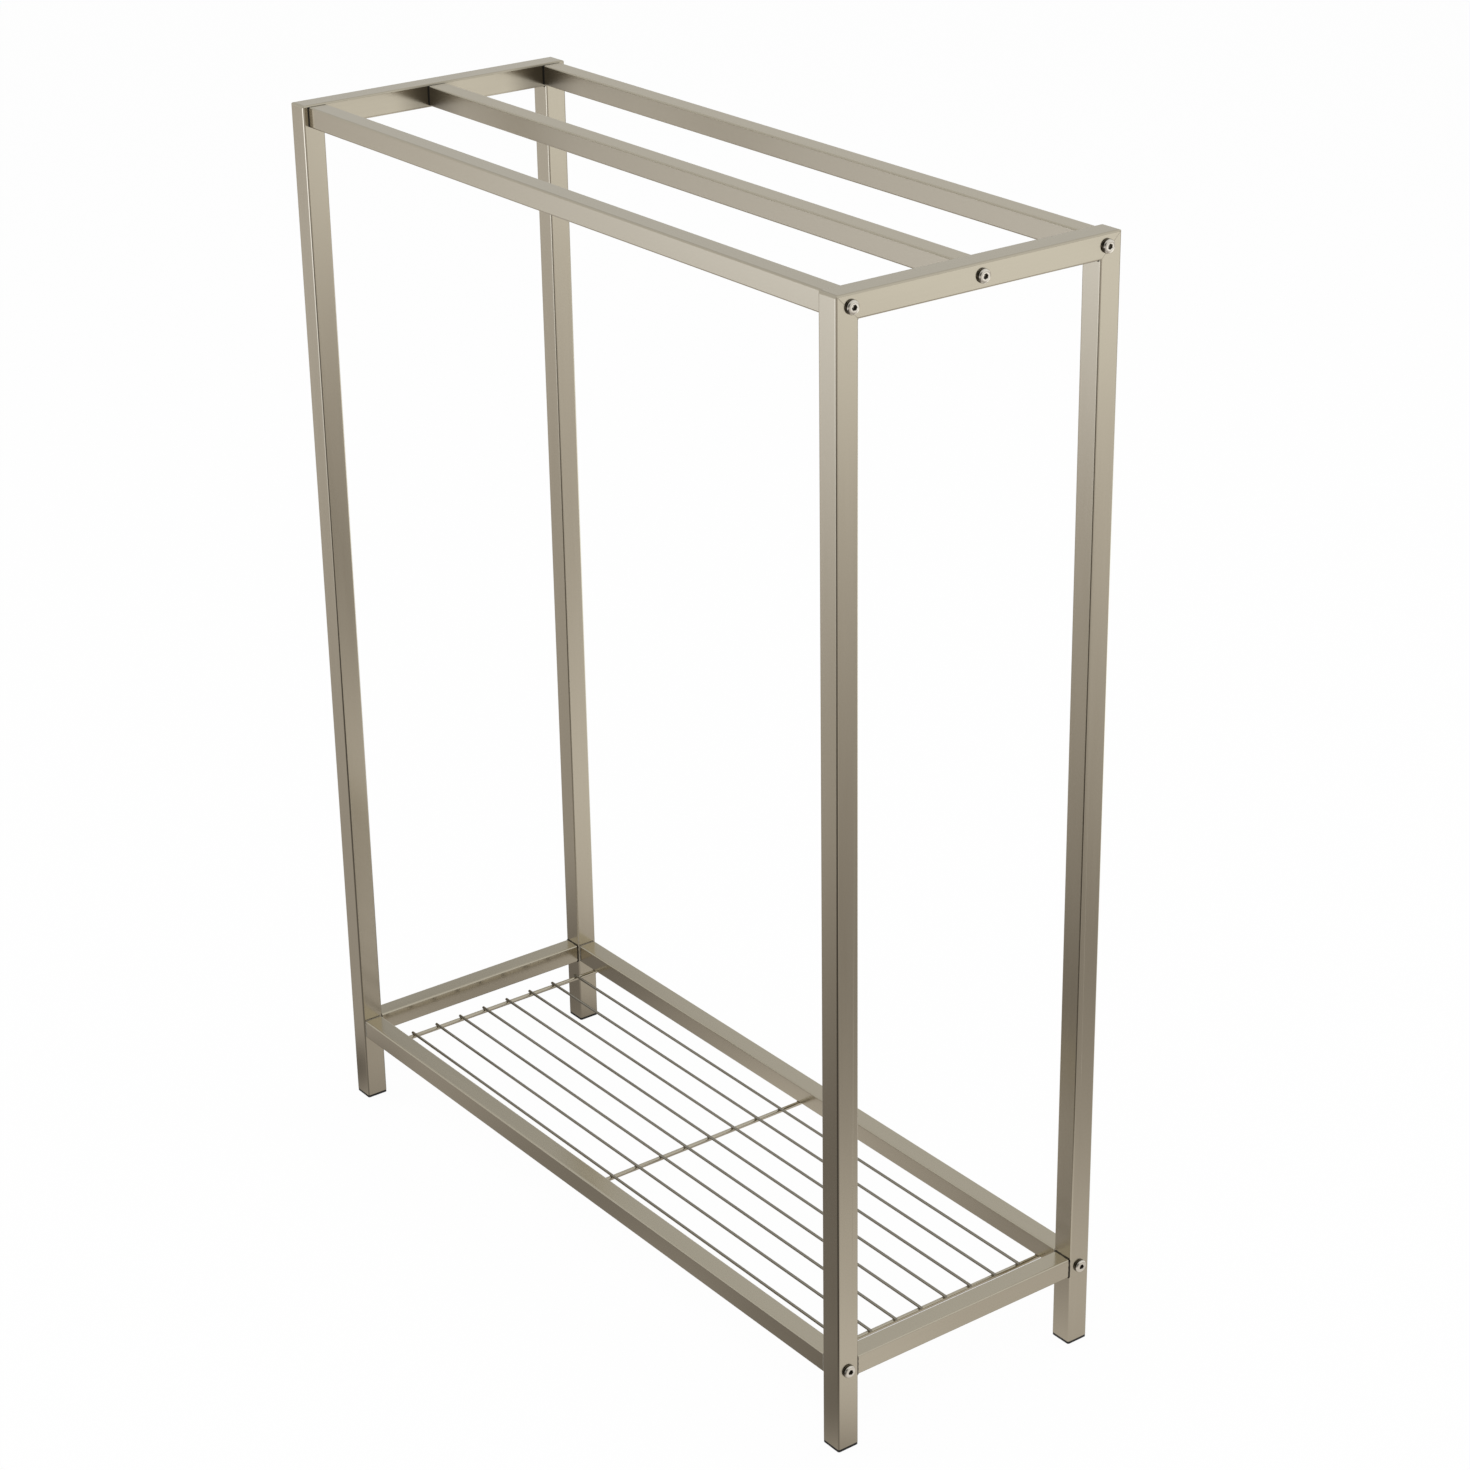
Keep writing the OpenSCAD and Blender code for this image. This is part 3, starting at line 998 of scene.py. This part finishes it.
def build_shelf_wires():
    """The wire mat of the shelf: long wires laid on three cross wires and spot welded."""
    low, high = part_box("long_wires")
    wire_r = (high.z - low.z) / 2
    span = high.y - low.y - 2 * wire_r
    pattern = make_rod("long_wire", 0, wire_r, high.x - low.x, LONG_WIRE_SIDES,
                       LONG_WIRE_END_R)
    for number, y in enumerate(long_wire_places(span)):
        wire = another(pattern, f"long_wire_{number + 1}", (0, y, low.z + wire_r))
        finish_piece(wire, LONG_WIRE_FINISH, "wire", "long_wires")
    throw_away(pattern)
    cross_low, cross_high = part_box("cross_wires")
    cross_r = (cross_high.z - cross_low.z) / 2
    pattern = make_rod("cross_wire", 1, cross_r, cross_high.y - cross_low.y,
                       CROSS_WIRE_SIDES, CROSS_WIRE_END_R)
    reach = cross_high.x - cross_r
    for place, x in (("left", -reach), ("middle", 0.0), ("right", reach)):
        wire = another(pattern, f"{place}_cross_wire", (x, 0, cross_low.z + cross_r))
        finish_piece(wire, CROSS_WIRE_FINISH, "wire", "cross_wires")
        build_spot_welds(place, x, span, low.z + SPOT_WELD_RISE)
        build_lap_welds(place, x, cross_high.z, cross_r)
    throw_away(pattern)


def make_lump(half_sizes, place, seed):
    """A small lump of weld metal, flat and uneven."""
    deselect_all()
    bpy.ops.mesh.primitive_uv_sphere_add(
        segments=LUMP_SEGMENTS, ring_count=LUMP_RINGS, radius=1.0, location=(0, 0, 0))
    lump = bpy.context.object
    lump.scale = half_sizes
    settle(lump)
    take_up(lump)
    pick_all()
    make_uneven(LUMP_UNEVEN, LUMP_EVEN_SHARE, LUMP_OUT_SHARE, seed)
    bpy.ops.mesh.vertices_smooth(factor=LUMP_SMOOTHING, repeat=1)
    put_down()
    soften(lump, WELD_SMOOTH_ANGLE)
    lump.location = place
    settle(lump)
    return lump


def build_spot_welds(place, x, span, z):
    """The metal pressed out where each long wire was welded to a cross wire."""
    lumps = [make_lump(SPOT_WELD, (x, y, z), seed)
             for seed, y in enumerate(long_wire_places(span))]
    finish_piece(join(lumps, f"{place}_spot_welds"), WELD_FINISH, "wire")


def build_lap_welds(place, x, top, radius):
    """The weld runs that hold a cross wire under the two shelf rails."""
    runs = []
    inner = SHELF_BOX[0][1]
    for face in (-1, 1):
        for side in (-1, 1):
            spot = (x + side * (radius - LAP_WELD_BITE), face * (inner + LAP_WELD_REACH),
                    top - LAP_WELD_SINK)
            runs.append(make_lump(LAP_WELD, spot, LAP_WELD_SEED + face + 2 * side))
    finish_piece(join(runs, f"{place}_rail_welds"), WELD_FINISH, "wire")


def make_weld_ring(size, corner, bead):
    """A bead of weld round the end of a square tube, in the plane y = 0."""
    deselect_all()
    bpy.ops.mesh.primitive_plane_add(size=size, location=(0, 0, 0),
                                     rotation=(QUARTER_TURN, 0, 0))
    ring = bpy.context.object
    settle(ring)
    take_up(ring)
    pick_all()
    bpy.ops.mesh.bevel(offset=corner, segments=CORNER_STEPS, affect="VERTICES")
    bpy.ops.mesh.delete(type="ONLY_FACE")
    pick_all()
    bpy.ops.mesh.subdivide(number_cuts=RING_CUTS)
    put_down()
    bpy.ops.object.convert(target="CURVE")
    ring.data.bevel_depth = bead
    ring.data.bevel_resolution = RING_RESOLUTION
    bpy.ops.object.convert(target="MESH")
    ring = bpy.context.object
    take_up(ring)
    pick_all()
    make_uneven(bead * RING_UNEVEN, BEAD_EVEN_SHARE, BEAD_OUT_SHARE, RING_SEED)
    turn_outward()
    put_down()
    soften(ring, WELD_SMOOTH_ANGLE)
    return ring


def build_side_rail_welds():
    """The side rails are welded to the posts all round. The near black rings are partly dark weld
    and partly painted shadow of the gap at each joint.
    """
    pattern = make_weld_ring(BAR_SIZE, BAR_EDGE_R, RING_BEAD)
    for corner, end, face in corners():
        ring = another(pattern, f"{corner}_side_rail_weld",
                       (end * POST_X, face * POST_INNER_Y, SHELF_Z))
        finish_piece(ring, WELD_GAP_SHADE_FINISH, "nickel")
    throw_away(pattern)


def build_mitre_welds():
    """The fillet welds in the inner corners of the two end frames."""
    for corner, end, face in corners():
        run = make_rod(f"{corner}_corner_weld", 0, MITRE_WELD_R, TUBE - 2 * TUBE_EDGE_R,
                       MITRE_WELD_SIDES, MITRE_WELD_END_R)
        take_up(run)
        pick_all()
        bpy.ops.mesh.subdivide(number_cuts=MITRE_WELD_CUTS)
        make_uneven(MITRE_WELD_UNEVEN, BEAD_EVEN_SHARE, BEAD_OUT_SHARE, MITRE_WELD_SEED)
        put_down()
        run.location = (end * POST_X, face * (POST_INNER_Y - MITRE_WELD_SINK),
                        RACK_TOP - TUBE - MITRE_WELD_SINK)
        settle(run)
        finish_piece(run, WELD_FINISH, "nickel")


def dress(names, material):
    """Gives CAD nodes that stay their finish."""
    for name in names:
        put_on(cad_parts[name], material)


def dress_cad_nodes():
    """Gives each tube its finish, with the lines along it, and then plugs and nuts theirs."""
    along_x = satin_nickel("satin_nickel_along_x", 0)
    dress(["front_hang_bar", "front_shelf_rail", "rear_shelf_rail"], along_x)
    along_y = satin_nickel("satin_nickel_along_y", 1, painted_shade=painted_shade_beside_bars)
    dress(["left_top_rail", "right_top_rail", "left_side_rail", "right_side_rail"], along_y)
    along_z = satin_nickel("satin_nickel_along_z", 2, painted_shade=painted_shade_on_bends)
    dress(["left_front_post", "left_rear_post", "right_front_post", "right_rear_post"], along_z)
    # The middle and rear bars: a rougher, paler copy of the nickel, with painted shade on their
    # upright faces.
    hazy = satin_nickel("hazy_nickel_along_x", 0, HAZY_NICKEL, HAZY_DARK, HAZY_ROUGH,
                        painted_shade_on_bars)
    dress(["middle_hang_bar", "rear_hang_bar"], hazy)
    dress(["hang_bar_plugs"], PLASTIC_FINISH)
    dress(["shelf_rail_plugs"], GREY_FINISH)
    dress(["hang_bar_nuts", "shelf_rail_nuts"], ZINC_FINISH)


PLASTIC_FINISH = moulded_plastic("black_moulded_plastic", BLACK_PLASTIC, BLACK_WORN)
GREY_FINISH = moulded_plastic("grey_moulded_plastic", GREY_PLASTIC, GREY_WORN)
ZINC_FINISH = zinc_plate()
SCREW_FINISH = bright_plate()
# The long wires get a darker copy of the nickel as painted shade.
LONG_WIRE_FINISH = satin_nickel("wire_nickel_along_x", 0, SHADED_WIRE_NICKEL, SHADED_WIRE_DARK)
CROSS_WIRE_FINISH = satin_nickel("wire_nickel_along_y", 1, NICKEL, NICKEL_DARK)
WELD_FINISH = satin_nickel("plated_weld", 2, WELD_TONE, WELD_DARK)
WELD_GAP_SHADE_FINISH = satin_nickel("weld_and_gap_shade", 2, WELD_GAP_SHADE, WELD_GAP_SHADE_DARK, WELD_ROUGH)

deselect_all()
bpy.context.scene.view_settings.view_transform = "Standard"
build_world()
build_floor()
build_grey_card()
build_lights()
build_camera()
dress_cad_nodes()
build_screws()
build_feet()
build_shelf_wires()
build_side_rail_welds()
build_mitre_welds()
